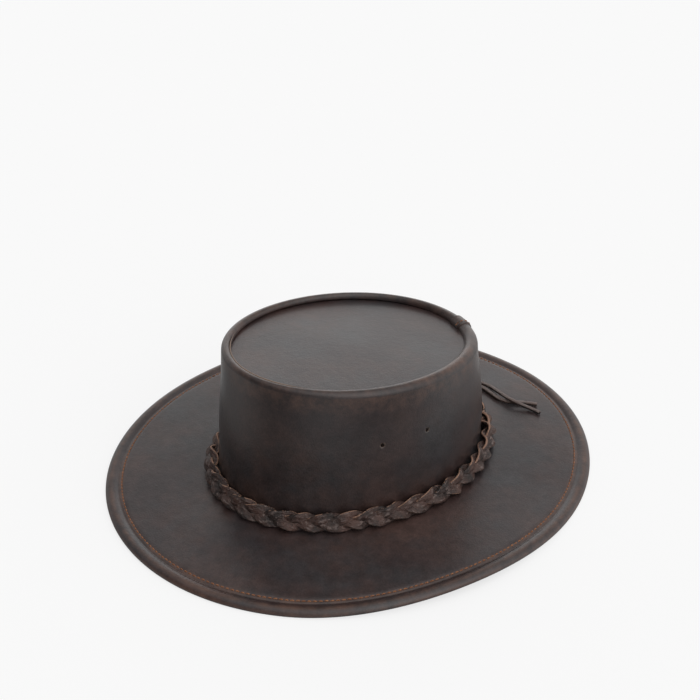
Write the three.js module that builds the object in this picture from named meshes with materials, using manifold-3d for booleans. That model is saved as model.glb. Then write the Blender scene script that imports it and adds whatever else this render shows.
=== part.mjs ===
// A flat-topped leather hat with a wide brim and a plaited leather hat band, in millimetres.
// The front is -Y, the wearer's left is +X, up is +Z, and the hat stands on its brim at z = 0.
import * as THREE from "three";
import { mergeVertices } from "three/addons/utils/BufferGeometryUtils.js";
import Module from "manifold-3d";

const wasm = await Module();
wasm.setup();

// Leather and the clearance between neighbouring pieces
const LEATHER = 2.4;
const GAP = 0.3;

// Brim: an oval ring that falls gently outwards, with a turned and stitched hem
const BRIM = {
  length: 370,
  width: 329.5,
  frontFullness: 0.011,
  edgeTop: 4.4,
  hemWidth: 13.5,
  innerMargin: 1,
  midSpan: 0.4,
};

// Where the brim's edge lifts off the surface: on its left side, and less at the back of its right
const BRIM_LIFTS = [
  { angle: 89, reach: 42, rise: 6.1 },
  { angle: 241, reach: 47, rise: 4.2 },
];

// The hem's upper side: distances inwards from the brim's edge, with heights above its sloping line.
// The bead stands proud of the edge, and the groove lies between it and the stitching.
const HEM_TOP = [
  { inward: 14.5, above: 0 },
  { inward: 11.8, above: -0.4 },
  { inward: 9.4, above: -0.7 },
  { inward: 7.0, above: 0.3 },
  { inward: 4.2, above: 0.7 },
  { inward: 1.6, above: 0 },
  { inward: 0.1, above: -1.5 },
];

// The hem's underside, with heights above the surface that it stands on
const HEM_FOOT = [
  { inward: 0.6, above: 1 },
  { inward: 1.8, above: 0 },
  { inward: 12.5, above: 0 },
];

// Crown: the oval at the brim, the smaller oval at the rim, and the tilt that lifts the front
const CROWN = {
  baseLength: 206.2,
  baseWidth: 163.6,
  topLength: 187.6,
  topWidth: 154.6,
  topShiftBack: -1.5,
  footHeight: 8.9,
  footTiltFront: -1.8,
  rimHeight: 106.2,
  rimTiltFront: 8.3,
  rimTiltLeft: 3.6,
  rollRadius: 4.2,
  rollTurnsOutside: [30, 60, 90, 120, 150, 180],
  rollTurnsInside: [180, 135, 90, 45],
  wallShares: [0, 0.2, 0.3, 0.65, 1],
};

// Flat top: an inset disc below the rolled rim
const TOP_DEPTH = 4.6;

// Back seam: the crown's side overlaps itself in a raised lap, a little to the left of the middle
const SEAM = { angle: 173, halfWidth: 6, edge: 0.8, rise: 1.1, fadeFrom: 0.2, fadeTo: 0.3 };

// Vent holes: two on each side
const VENT = { radius: 1.5, height: 60, angles: [77.5, 98.5, 261.5, 282.5], drillLength: 20 };

// Hat band: a plait of three laces that leans in the corner of crown and brim
const PLAIT = {
  turns: 13,
  startPhase: 12,
  sway: 3.2,
  wave: 1.75,
  laceHalfWidth: 3.7,
  laceHalfThickness: 1.35,
  laceRoll: 24,
  lean: 30,
  touchHeight: 9,
  core: 0.62,
};

// Knot: three turns of lace round the plait, behind the crown
const KNOT = {
  angle: 196,
  halfLength: 7.5,
  room: 1.2,
  wall: 1.7,
  turnRise: 0.7,
  ridges: [0, 1, 0, 1, 0, 1, 0],
  fade: 24,
};

// Lace tails: the free ends of the knot's lace, which lie on the back of the brim
const TAIL = { halfWidth: 1.7, halfThickness: 1.2, step: 6 };
const TAIL_ROUTES = {
  lace_tail_left: [
    [-28.1, 113.8, 16.6], [-29.1, 116.6, 15.9], [-29.8, 119.6, 14.2], [-29.9, 122.7, 12.2],
    [-29.1, 126.2, 10.7], [-26.9, 130.0, 10.0], [-23.4, 133.3, 9.7], [-18.9, 135.7, 9.7],
    [-12.8, 137.4, 9.9], [-5.2, 137.7, 10.6], [2.4, 137.4, 11.5], [9.1, 137.3, 12.3],
    [14.6, 138.6, 12.3], [19.1, 140.7, 11.6], [22.9, 143.3, 10.5], [26.4, 146.3, 9.3],
    [30.3, 148.6, 8.5], [34.5, 149.9, 8.3],
  ],
  lace_tail_right: [
    [-22.8, 115.5, 16.0], [-23.7, 118.3, 15.6], [-24.0, 121.2, 14.0], [-23.2, 124.2, 11.9],
    [-21.2, 127.2, 10.6], [-17.9, 129.8, 10.2], [-12.9, 131.3, 10.1], [-6.0, 132.0, 10.0],
    [1.1, 132.4, 10.0], [6.7, 133.8, 9.9], [10.7, 136.9, 9.6], [13.6, 141.5, 9.3],
    [16.2, 146.2, 8.9], [19.7, 151.3, 8.4], [23.6, 155.8, 8.0],
  ],
};

// How finely the surfaces are cut
const STATIONS = 92;
const PLAIT_STATIONS = 156;
const PLAIT_SIDES = 12;
const PLAIT_PHASES = 72;
const PLAIT_FINE_STEPS = 2000;
const KNOT_SIDES = 16;
const VENT_SIDES = 12;
const TAIL_SIDES = 8;

const radians = THREE.MathUtils.degToRad;
const UP = new THREE.Vector3(0, 0, 1);

function surface(points, index) {
  const geometry = new THREE.BufferGeometry();
  const numbers = points.flatMap((point) => point.toArray());
  geometry.setAttribute("position", new THREE.Float32BufferAttribute(numbers, 3));
  geometry.setIndex(index);
  geometry.computeVertexNormals();
  return geometry;
}

// A point on a flat oval. Angle 0 is the front, and 90 degrees is the wearer's left.
function ovalPoint(length, width, angle, fullness = 0) {
  const across = (width / 2) * Math.sin(angle) * (1 + fullness * Math.cos(angle));
  return new THREE.Vector3(across, (-length / 2) * Math.cos(angle), 0);
}

function ovalNormal(length, width, angle) {
  return new THREE.Vector3(Math.sin(angle) / width, -Math.cos(angle) / length, 0).normalize();
}

function footHeight(angle) {
  return CROWN.footHeight + CROWN.footTiltFront * Math.cos(angle);
}

// The height of the rim's tilted plane over a point
function rimHeight(point) {
  const towardsFront = (CROWN.topShiftBack - point.y) / (CROWN.topLength / 2);
  const towardsLeft = point.x / (CROWN.topWidth / 2);
  return CROWN.rimHeight + CROWN.rimTiltFront * towardsFront + CROWN.rimTiltLeft * towardsLeft;
}

function crownFoot(angle, outward = 0) {
  const normal = ovalNormal(CROWN.baseLength, CROWN.baseWidth, angle);
  return ovalPoint(CROWN.baseLength, CROWN.baseWidth, angle).addScaledVector(normal, outward);
}

function crownRim(angle, outward = 0) {
  const point = ovalPoint(CROWN.topLength, CROWN.topWidth, angle);
  point.y += CROWN.topShiftBack;
  return point.addScaledVector(ovalNormal(CROWN.topLength, CROWN.topWidth, angle), outward);
}

// The raised lap of the back seam, from 0 beside it to its full rise
function seamRise(angle) {
  const reach = (CROWN.topWidth / 2) * Math.abs(angle - radians(SEAM.angle));
  return SEAM.rise * (1 - THREE.MathUtils.smoothstep(reach, SEAM.halfWidth, SEAM.halfWidth + SEAM.edge));
}

// A point on the crown's side, at a share of its height from the brim to the start of the rim's roll
function crownWall(angle, share, outward) {
  const fade = THREE.MathUtils.smoothstep(share, SEAM.fadeFrom, SEAM.fadeTo);
  const lap = outward === 0 ? seamRise(angle) * fade : 0;
  const rim = crownRim(angle, outward + lap);
  const point = crownFoot(angle, outward + lap).lerp(rim, share);
  point.z = THREE.MathUtils.lerp(footHeight(angle) + GAP, rimHeight(rim) - CROWN.rollRadius, share);
  return point;
}

// A point on the rolled rim, at a turn from the outside over the top to the inside
function rimRoll(angle, turn, radius, lap) {
  const reach = radius + lap;
  const point = crownRim(angle, -CROWN.rollRadius + reach * Math.cos(radians(turn)));
  point.z = rimHeight(point) - CROWN.rollRadius + reach * Math.sin(radians(turn));
  return point;
}

// Angles round the hat, closer together where the back seam steps
function stationAngles() {
  const even = Array.from({ length: STATIONS }, (_, i) => (i * 360) / STATIONS);
  const perMm = 360 / (Math.PI * CROWN.topWidth);
  const steps = [-1, 1].flatMap((side) => [
    SEAM.angle + side * SEAM.halfWidth * perMm,
    SEAM.angle + side * (SEAM.halfWidth + SEAM.edge) * perMm,
  ]);
  const apart = even.filter((angle) => steps.every((step) => Math.abs(angle - step) > perMm / 2));
  return [...apart, ...steps].sort((a, b) => a - b).map(radians);
}

// A closed surface of points, whose rows and columns both run round and meet themselves
function ringSurface(rows) {
  const columns = rows[0].length;
  const index = [];
  rows.forEach((_, i) => {
    const here = i * columns;
    const next = ((i + 1) % rows.length) * columns;
    for (let j = 0; j < columns; j += 1) {
      const k = (j + 1) % columns;
      index.push(here + j, next + j, next + k, here + j, next + k, here + k);
    }
  });
  return surface(rows.flat(), index);
}

function toSolid(geometry) {
  const bare = new THREE.BufferGeometry();
  bare.setAttribute("position", geometry.getAttribute("position").clone());
  bare.setIndex(geometry.getIndex());
  const merged = mergeVertices(bare, 1e-4);
  return new wasm.Manifold(
    new wasm.Mesh({
      numProp: 3,
      vertProperties: new Float32Array(merged.getAttribute("position").array),
      triVerts: new Uint32Array(merged.getIndex().array),
    }),
  );
}

function fromSolid(solid) {
  const mesh = solid.getMesh();
  const geometry = new THREE.BufferGeometry();
  geometry.setAttribute("position", new THREE.BufferAttribute(new Float32Array(mesh.vertProperties), 3));
  geometry.setIndex(new THREE.BufferAttribute(new Uint32Array(mesh.triVerts), 1));
  geometry.computeVertexNormals();
  return geometry;
}

// How far the brim's edge rises at an angle. It stands flat at the front and at the back.
function sideLift(angle) {
  const degrees = THREE.MathUtils.radToDeg(angle);
  const rises = BRIM_LIFTS.map(({ angle: middle, reach, rise }) => {
    const away = Math.abs(THREE.MathUtils.euclideanModulo(degrees - middle + 180, 360) - 180);
    return rise * (1 - THREE.MathUtils.smoothstep(away, 0, reach));
  });
  return Math.max(...rises);
}

// One section through the brim, from the crown out to the edge and back along the underside
function brimStation(angle) {
  const normal = ovalNormal(BRIM.length, BRIM.width, angle);
  const edge = ovalPoint(BRIM.length, BRIM.width, angle, BRIM.frontFullness);
  const foot = crownFoot(angle);
  const span = edge.distanceTo(foot);
  const lift = sideLift(angle);
  const slopeHeight = (inward) => {
    const share = Math.min(inward / span, 1);
    return THREE.MathUtils.lerp(BRIM.edgeTop + lift, footHeight(angle), share);
  };
  const hemPoint = (inward, height) => {
    const point = edge.clone().addScaledVector(normal, -inward);
    point.z = height;
    return point;
  };
  const spanPoint = (share, height) => {
    const point = foot.clone().lerp(edge, share);
    point.z = height;
    return point;
  };
  const innerEdge = crownFoot(angle, -LEATHER - BRIM.innerMargin);
  const midHeight = slopeHeight((1 - BRIM.midSpan) * span);
  return [
    innerEdge.clone().setZ(footHeight(angle)),
    spanPoint(0, footHeight(angle)),
    spanPoint(BRIM.midSpan, midHeight),
    ...HEM_TOP.map(({ inward, above }) => hemPoint(inward, slopeHeight(inward) + above)),
    ...HEM_FOOT.map(({ inward, above }) => hemPoint(inward, lift + above)),
    hemPoint(BRIM.hemWidth, slopeHeight(BRIM.hemWidth) - LEATHER),
    spanPoint(BRIM.midSpan, midHeight - LEATHER),
    innerEdge.clone().setZ(footHeight(angle) - LEATHER),
  ].reverse();
}

function makeBrim() {
  return ringSurface(stationAngles().map(brimStation));
}

function ventDrill(angleDegrees) {
  const angle = radians(angleDegrees);
  const normal = ovalNormal(CROWN.baseLength, CROWN.baseWidth, angle);
  const share = VENT.height / (rimHeight(crownRim(angle)) - CROWN.rollRadius - footHeight(angle));
  const drill = new THREE.CylinderGeometry(VENT.radius, VENT.radius, VENT.drillLength, VENT_SIDES);
  drill.applyQuaternion(new THREE.Quaternion().setFromUnitVectors(new THREE.Vector3(0, 1, 0), normal));
  const centre = crownWall(angle, share, 0);
  drill.translate(centre.x, centre.y, centre.z);
  return toSolid(drill);
}

// The crown's side: a leaning wall that rolls over at the rim and ends in a lip on the flat top
function makeCrownSide() {
  const rows = stationAngles().map((angle) => {
    const lap = seamRise(angle);
    return [
      ...CROWN.wallShares.map((share) => crownWall(angle, share, 0)),
      ...CROWN.rollTurnsOutside.map((turn) => rimRoll(angle, turn, CROWN.rollRadius, lap)),
      ...CROWN.rollTurnsInside.map((turn) => rimRoll(angle, turn, CROWN.rollRadius - LEATHER, 0)),
      crownWall(angle, 1, -LEATHER),
      crownWall(angle, 0, -LEATHER),
    ];
  });
  let side = toSolid(ringSurface(rows));
  for (const angle of VENT.angles) {
    side = side.subtract(ventDrill(angle));
  }
  return fromSolid(side);
}

// The flat top: a thin oval plate that reaches under the lip to the inside of the crown's side
function makeCrownTop() {
  const rim = stationAngles().map((angle) => {
    const point = crownRim(angle, -LEATHER - GAP);
    return point.setZ(rimHeight(point) - TOP_DEPTH);
  });
  const count = rim.length;
  const middle = new THREE.Vector3(0, CROWN.topShiftBack, CROWN.rimHeight - TOP_DEPTH);
  const below = (point) => point.clone().setZ(point.z - LEATHER);
  const points = [...rim, ...rim.map(below), middle, below(middle)];
  const index = [];
  for (let i = 0; i < count; i += 1) {
    const next = (i + 1) % count;
    index.push(i, next, 2 * count);
    index.push(count + next, count + i, 2 * count + 1);
    index.push(i, count + i, count + next, i, count + next, next);
  }
  return surface(points, index);
}

// Where a lace's middle lies in the plait's section, and how far it rolls, at one phase of the plait
function lacePlace(phase) {
  return {
    across: PLAIT.sway * Math.sin(phase),
    through: PLAIT.wave * Math.sin(2 * phase),
    roll: radians(PLAIT.laceRoll) * Math.cos(phase),
  };
}

// How far the plait reaches from its middle in one direction of its section
function plaitReach(across, through) {
  const reaches = Array.from({ length: PLAIT_PHASES }, (_, i) => {
    const lace = lacePlace((i * 2 * Math.PI) / PLAIT_PHASES);
    const alongWidth = across * Math.cos(lace.roll) + through * Math.sin(lace.roll);
    const alongThickness = through * Math.cos(lace.roll) - across * Math.sin(lace.roll);
    const own = Math.hypot(PLAIT.laceHalfWidth * alongWidth, PLAIT.laceHalfThickness * alongThickness);
    return across * lace.across + through * lace.through + own;
  });
  return Math.max(...reaches);
}

// Where the plait runs: its middle, the direction across its width and the one through its thickness
function plaitFrame(angle) {
  const lean = radians(PLAIT.lean);
  const normal = ovalNormal(CROWN.baseLength, CROWN.baseWidth, angle);
  const along = (CROWN.baseWidth / 2) * Math.abs(angle - radians(KNOT.angle));
  const outOfWay = 1 - THREE.MathUtils.smoothstep(along, KNOT.halfLength, KNOT.halfLength + KNOT.fade);
  const bulge = (KNOT.room + KNOT.wall + KNOT.turnRise / 2) * outOfWay;
  const toWall = plaitReach(Math.sin(lean), -Math.cos(lean));
  const toBrim = plaitReach(-Math.cos(lean), -Math.sin(lean));
  const middle = crownWall(angle, PLAIT.touchHeight / CROWN.rimHeight, GAP + toWall + bulge);
  middle.z = footHeight(angle) + GAP + toBrim + bulge;
  const across = UP.clone().multiplyScalar(Math.cos(lean)).addScaledVector(normal, -Math.sin(lean));
  const through = normal.clone().multiplyScalar(Math.cos(lean)).addScaledVector(UP, Math.sin(lean));
  return { middle, across, through };
}

// How far a ray from the plait's middle runs before it leaves one lace's oval section
function laceReach(across, through, phase) {
  const lace = lacePlace(phase);
  const turned = (x, y) => [
    (x * Math.cos(lace.roll) + y * Math.sin(lace.roll)) / PLAIT.laceHalfWidth,
    (y * Math.cos(lace.roll) - x * Math.sin(lace.roll)) / PLAIT.laceHalfThickness,
  ];
  const [dx, dy] = turned(across, through);
  const [cx, cy] = turned(lace.across, lace.through);
  const a = dx * dx + dy * dy;
  const b = dx * cx + dy * cy;
  const inside = b * b - a * (cx * cx + cy * cy - 1);
  return inside < 0 ? 0 : (b + Math.sqrt(inside)) / a;
}

// The outer form of the three laces, wrapped as one body
function makePlait() {
  const rows = plaitShares().map(({ angle, share }) => {
    const { middle, across, through } = plaitFrame(angle);
    const phase = 2 * Math.PI * PLAIT.turns * share + radians(PLAIT.startPhase);
    const phases = [0, 1, 2].map((lace) => phase + (lace * 2 * Math.PI) / 3);
    return Array.from({ length: PLAIT_SIDES }, (_, i) => {
      const turn = (-i * 2 * Math.PI) / PLAIT_SIDES;
      const x = (PLAIT.sway + PLAIT.laceHalfWidth) * Math.cos(turn);
      const y = (PLAIT.wave + PLAIT.laceHalfThickness) * Math.sin(turn);
      const reach = Math.max(PLAIT.core, ...phases.map((lacePhase) => laceReach(x, y, lacePhase)));
      return middle.clone().addScaledVector(across, x * reach).addScaledVector(through, y * reach);
    });
  });
  return ringSurface(rows);
}

// Even steps along the plait, each with its angle round the hat and its share of the whole length
function plaitShares() {
  const fine = PLAIT_FINE_STEPS;
  const points = Array.from({ length: fine + 1 }, (_, i) => plaitFrame((i * 2 * Math.PI) / fine).middle);
  const lengths = [0];
  for (let i = 1; i <= fine; i += 1) {
    lengths.push(lengths[i - 1] + points[i].distanceTo(points[i - 1]));
  }
  return Array.from({ length: PLAIT_STATIONS }, (_, i) => {
    const share = i / PLAIT_STATIONS;
    const at = lengths.findIndex((length) => length >= share * lengths[fine]);
    return { angle: (at * 2 * Math.PI) / fine, share };
  });
}

// The knot: a hollow sleeve round the plait, ridged by its three turns of lace
function makeKnot() {
  const innerAcross = PLAIT.sway + PLAIT.laceHalfWidth + KNOT.room;
  const innerThrough = PLAIT.wave + PLAIT.laceHalfThickness + KNOT.room;
  const degreesPerMm = 360 / (Math.PI * CROWN.baseWidth);
  const outer = KNOT.ridges.map((rise, i) => ({
    along: KNOT.halfLength * ((2 * i) / (KNOT.ridges.length - 1) - 1),
    wall: KNOT.wall + (rise - 0.5) * KNOT.turnRise,
  }));
  const inner = [1, 0, -1].map((side) => ({ along: side * KNOT.halfLength, wall: 0 }));
  const rows = Array.from({ length: KNOT_SIDES }, (_, i) => {
    const turn = (i * 2 * Math.PI) / KNOT_SIDES;
    return [...outer, ...inner].map(({ along, wall }) => {
      const { middle, across, through } = plaitFrame(radians(KNOT.angle + along * degreesPerMm));
      return middle
        .clone()
        .addScaledVector(across, (innerAcross + wall) * Math.cos(turn))
        .addScaledVector(through, (innerThrough + wall) * Math.sin(turn));
    });
  });
  return ringSurface(rows);
}

// A free lace: a flat oval section along its route
function makeTail(route) {
  const path = new THREE.CatmullRomCurve3(route.map((point) => new THREE.Vector3(...point)));
  const section = new THREE.Shape();
  for (let i = 0; i < TAIL_SIDES; i += 1) {
    const turn = ((i + 0.5) * 2 * Math.PI) / TAIL_SIDES;
    const corner = [TAIL.halfThickness * Math.cos(turn), TAIL.halfWidth * Math.sin(turn)];
    if (i === 0) section.moveTo(...corner);
    else section.lineTo(...corner);
  }
  const steps = Math.round(path.getLength() / TAIL.step);
  return new THREE.ExtrudeGeometry(section, { steps, bevelEnabled: false, extrudePath: path });
}

const brownLeather = { color: 0x3a302c, roughness: 0.55, metalness: 0 };
const laceLeather = { color: 0x4a382e, roughness: 0.6, metalness: 0 };

function part(name, geometry, finish) {
  const mesh = new THREE.Mesh(geometry, new THREE.MeshStandardMaterial(finish));
  mesh.name = name;
  return mesh;
}

const group = new THREE.Group();
group.add(part("brim", makeBrim(), brownLeather));
group.add(part("crown_side", makeCrownSide(), brownLeather));
group.add(part("crown_top", makeCrownTop(), brownLeather));
group.add(part("hat_band", makePlait(), laceLeather));
group.add(part("band_knot", makeKnot(), laceLeather));
for (const [name, route] of Object.entries(TAIL_ROUTES)) {
  group.add(part(name, makeTail(route), laceLeather));
}

export default group;
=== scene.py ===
import math

import bmesh
import bpy
import numpy as np
from mathutils import Matrix, Vector


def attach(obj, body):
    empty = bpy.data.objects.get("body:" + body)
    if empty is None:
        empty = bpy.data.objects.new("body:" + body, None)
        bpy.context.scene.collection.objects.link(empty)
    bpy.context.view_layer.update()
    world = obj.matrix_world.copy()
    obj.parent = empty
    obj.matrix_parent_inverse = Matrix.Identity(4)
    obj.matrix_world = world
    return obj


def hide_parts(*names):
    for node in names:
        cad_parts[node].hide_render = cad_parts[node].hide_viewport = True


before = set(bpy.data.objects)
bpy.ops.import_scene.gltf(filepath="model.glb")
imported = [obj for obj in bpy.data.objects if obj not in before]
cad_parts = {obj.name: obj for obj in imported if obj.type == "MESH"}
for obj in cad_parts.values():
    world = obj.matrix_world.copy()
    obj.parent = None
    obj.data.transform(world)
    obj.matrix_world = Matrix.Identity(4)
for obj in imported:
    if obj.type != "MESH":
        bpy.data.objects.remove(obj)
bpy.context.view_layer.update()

# The hat stands on the floor at z = 0 with its front to -Y and the wearer's left to +X.
# Sizes are in millimetres here and turned to metres when a piece is made.
MM = 0.001
FULL_TURN = 2 * math.pi
LEATHER = 2.4
GAP = 0.3

BRIM_LENGTH = 370
BRIM_WIDTH = 329.5
BRIM_FULLNESS = 0.011
BRIM_EDGE_TOP = 4.4
# Where the brim's edge lifts off the floor: the angle, how far it reaches to both sides, and the rise
BRIM_LIFTS = ((89, 42, 6.1), (241, 47, 4.2))
HEM_WIDTH = 13.5
STITCH_INWARD = 11.8

CROWN_BASE = (206.2, 163.6)
CROWN_TOP = (187.6, 154.6)
CROWN_TOP_SHIFT = -1.5
FOOT_HEIGHT = 8.9
FOOT_TILT = -1.8
RIM_HEIGHT = 106.2
RIM_TILT_FRONT = 8.3
RIM_TILT_LEFT = 3.6
ROLL = 4.2
ROLL_UNEVEN = 0.8
ROLL_WIDE_ANGLE = 149
FAR_ANGLE = 239
FAR_STEEPNESS = 0.38
FAR_SINK = 0.8
BULGE = 1.9
BULGE_SPREAD = 0.5
TOP_DEPTH = 4.6

SEAM_ANGLE = 173
SEAM_HALF_WIDTH = 6
SEAM_EDGE = 0.8
SEAM_RISE = 1.1
SEAM_FADE = (0.2, 0.3)
VENT_RADIUS = 1.5
VENT_HEIGHT = 60
VENT_ANGLES = (77.5, 98.5, 261.5, 282.5)

PLAIT_TURNS = 13
PLAIT_START_PHASE = 12
PLAIT_SWAY = 3.2
PLAIT_WAVE = 1.75
LACE_HALF_WIDTH = 3.7
LACE_HALF_THICKNESS = 1.35
LACE_ROLL = 24
PLAIT_LEAN = 30
PLAIT_TOUCH = 9
KNOT_ANGLE = 196
KNOT_HALF_LENGTH = 7.5
KNOT_ROOM = 1.2
KNOT_WALL = 1.7
KNOT_TURN_RISE = 0.7
KNOT_FADE = 24

TAIL_WIDTH = 3.4
TAIL_THICKNESS = 2.4
TAIL_ROUTES = {
    "lace_tail_left": [
        (-28.1, 113.8, 16.6), (-29.1, 116.6, 15.9), (-29.8, 119.6, 14.2), (-29.9, 122.7, 12.2),
        (-29.1, 126.2, 10.7), (-26.9, 130.0, 10.0), (-23.4, 133.3, 9.7), (-18.9, 135.7, 9.7),
        (-12.8, 137.4, 9.9), (-5.2, 137.7, 10.6), (2.4, 137.4, 11.5), (9.1, 137.3, 12.3),
        (14.6, 138.6, 12.3), (19.1, 140.7, 11.6), (22.9, 143.3, 10.5), (26.4, 146.3, 9.3),
        (30.3, 148.6, 8.5), (34.5, 149.9, 8.3),
    ],
    "lace_tail_right": [
        (-22.8, 115.5, 16.0), (-23.7, 118.3, 15.6), (-24.0, 121.2, 14.0), (-23.2, 124.2, 11.9),
        (-21.2, 127.2, 10.6), (-17.9, 129.8, 10.2), (-12.9, 131.3, 10.1), (-6.0, 132.0, 10.0),
        (1.1, 132.4, 10.0), (6.7, 133.8, 9.9), (10.7, 136.9, 9.6), (13.6, 141.5, 9.3),
        (16.2, 146.2, 8.9), (19.7, 151.3, 8.4), (23.6, 155.8, 8.0),
    ],
}

# Camera: the direction, distance and focal length that the photo's outlines give
CAMERA_AZIMUTH = 59.2
CAMERA_ELEVATION = 32.07
CAMERA_DISTANCE = 0.8982
CAMERA_FOCAL_PX = 1262.05
CAMERA_AIM_HEIGHT = 0.0958
CAMERA_AIM_RIGHT = -0.0015
FRAME_PX = 700
SENSOR_MM = 36


def place_camera():
    turn, lift = math.radians(CAMERA_AZIMUTH), math.radians(CAMERA_ELEVATION)
    back = Vector((math.sin(turn) * math.cos(lift), -math.cos(turn) * math.cos(lift), math.sin(lift)))
    right = Vector((math.cos(turn), math.sin(turn), 0))
    aim = right * CAMERA_AIM_RIGHT + Vector((0, 0, CAMERA_AIM_HEIGHT))
    lens = bpy.data.cameras.new("photo_camera")
    lens.sensor_width = SENSOR_MM
    lens.lens = CAMERA_FOCAL_PX / FRAME_PX * SENSOR_MM
    camera = bpy.data.objects.new("photo_camera", lens)
    axes = Matrix((right, back.cross(right), back)).transposed()
    camera.matrix_world = Matrix.Translation(aim + back * CAMERA_DISTANCE) @ axes.to_4x4()
    bpy.context.collection.objects.link(camera)
    bpy.context.scene.camera = camera


# Shader maths

class Signal:
    """A node's output in a finish, which takes Python's arithmetic."""

    def __init__(self, finish, socket):
        self.finish = finish
        self.socket = socket

    def maths(self, operation, first, second, clamp=False):
        settings = {"operation": operation, "use_clamp": clamp}
        return self.finish.node("ShaderNodeMath", settings, {0: first, 1: second})

    def __add__(self, other):
        return self.maths("ADD", self, other)

    def __sub__(self, other):
        return self.maths("SUBTRACT", self, other)

    def __rsub__(self, other):
        return self.maths("SUBTRACT", other, self)

    def __mul__(self, other):
        return self.maths("MULTIPLY", self, other)

    def __truediv__(self, other):
        return self.maths("DIVIDE", self, other)

    def __pow__(self, other):
        return self.maths("POWER", self, other)

    __radd__ = __add__
    __rmul__ = __mul__

    def between(self, low, high):
        """0 below low, 1 above high, with a straight rise in between."""
        span = (self - low) / (high - low)
        return self.maths("ADD", span, 0, clamp=True)


class Finish:
    """A material or a world in the making: its nodes, and the shader that they feed."""

    def __init__(self, material):
        self.material = material
        self.material.use_nodes = True
        self.tree = self.material.node_tree
        self.tree.nodes.clear()

    def node(self, kind, settings=None, sockets=None, output=0):
        made = self.tree.nodes.new(kind)
        for setting, value in (settings or {}).items():
            if setting == "stops":
                ramp = made.color_ramp
                while len(ramp.elements) < len(value):
                    ramp.elements.new(1)
                for element, (position, colour) in zip(ramp.elements, value):
                    element.position = position
                    element.color = (*colour, 1)
            else:
                setattr(made, setting, value)
        for socket, value in (sockets or {}).items():
            if isinstance(value, Signal):
                self.tree.links.new(value.socket, made.inputs[socket])
            elif isinstance(value, tuple) and len(made.inputs[socket].default_value) > len(value):
                made.inputs[socket].default_value = (*value, 1)
            else:
                made.inputs[socket].default_value = value
        return Signal(self, made.outputs[output]) if made.outputs else made

    def place(self):
        return self.node("ShaderNodeTexCoord", output="Object")

    def measure(self, name):
        """A measure that the piece's mesh carries at each of its points."""
        return self.node("ShaderNodeAttribute", {"attribute_name": name}, output="Fac")

    def towards(self, place, direction):
        """How far a place, or a view of the surroundings, lies towards a direction."""
        return self.node("ShaderNodeVectorMath", {"operation": "DOT_PRODUCT"}, {0: place, 1: direction},
                         output="Value")

    def distance(self, place, point):
        return self.node("ShaderNodeVectorMath", {"operation": "DISTANCE"}, {0: place, 1: point},
                         output="Value")

    def clouds(self, scale, detail=3, roughness=0.55, shift=0, place=None):
        """Noise about the size of 1 / scale metres."""
        if shift:
            moved = {0: place or self.place(), 1: (shift, -shift, 2 * shift)}
            place = self.node("ShaderNodeVectorMath", {"operation": "ADD"}, moved)
        sockets = {"Vector": place or self.place(), "Scale": scale, "Detail": detail}
        return self.node("ShaderNodeTexNoise", None, {**sockets, "Roughness": roughness})

    def cells(self, scale):
        sockets = {"Vector": self.place(), "Scale": scale}
        return self.node("ShaderNodeTexVoronoi", {"feature": "F1"}, sockets, output="Distance")

    def blend(self, factor, first, second, mode="MIX"):
        settings = {"data_type": "RGBA", "blend_type": mode}
        return self.node("ShaderNodeMix", settings, {0: factor, 6: first, 7: second}, output=2)

    def relief(self, height, distance, strength=1, under=None):
        sockets = {"Height": height, "Distance": distance, "Strength": strength}
        if under:
            sockets["Normal"] = under
        return self.node("ShaderNodeBump", None, sockets)

    def surface(self, sockets):
        shader = self.node("ShaderNodeBsdfPrincipled", None, sockets)
        self.node("ShaderNodeOutputMaterial", None, {"Surface": shader})
        return self.material


DARK_BROWN = (0.036, 0.0235, 0.0235)
WARM_BROWN = (0.071, 0.041, 0.035)
COOL_BROWN = (0.037, 0.0345, 0.037)
# Rust of worn leather; the same colour also paints light: a highlight on the brim's bead, and a lighter top
# on the rim's roll with painted shade down its sides.
RUST_WEAR_AND_PAINTED_LIGHT = (0.150, 0.078, 0.052)
RAW_EDGE = (0.330, 0.215, 0.140)
LEATHER_IOR = 1.5
HAT_ROUGHNESS = 0.36
WAX_COAT = 0.2
WAX_COAT_ROUGHNESS = 0.2
# How many of each mark lie along a metre of the hat's leather, and how deep they are in metres
PATCHES = 15
COOL_PATCHES = 22
MOTTLE = 120
CREASES = 210
SPECKS = 700
GRAIN = 950
PORES = 2100
CREASE_DEPTH = 0.0005
GRAIN_DEPTH = 0.00016
PUNCHED_RING = (1.4, 2.6)


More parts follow.
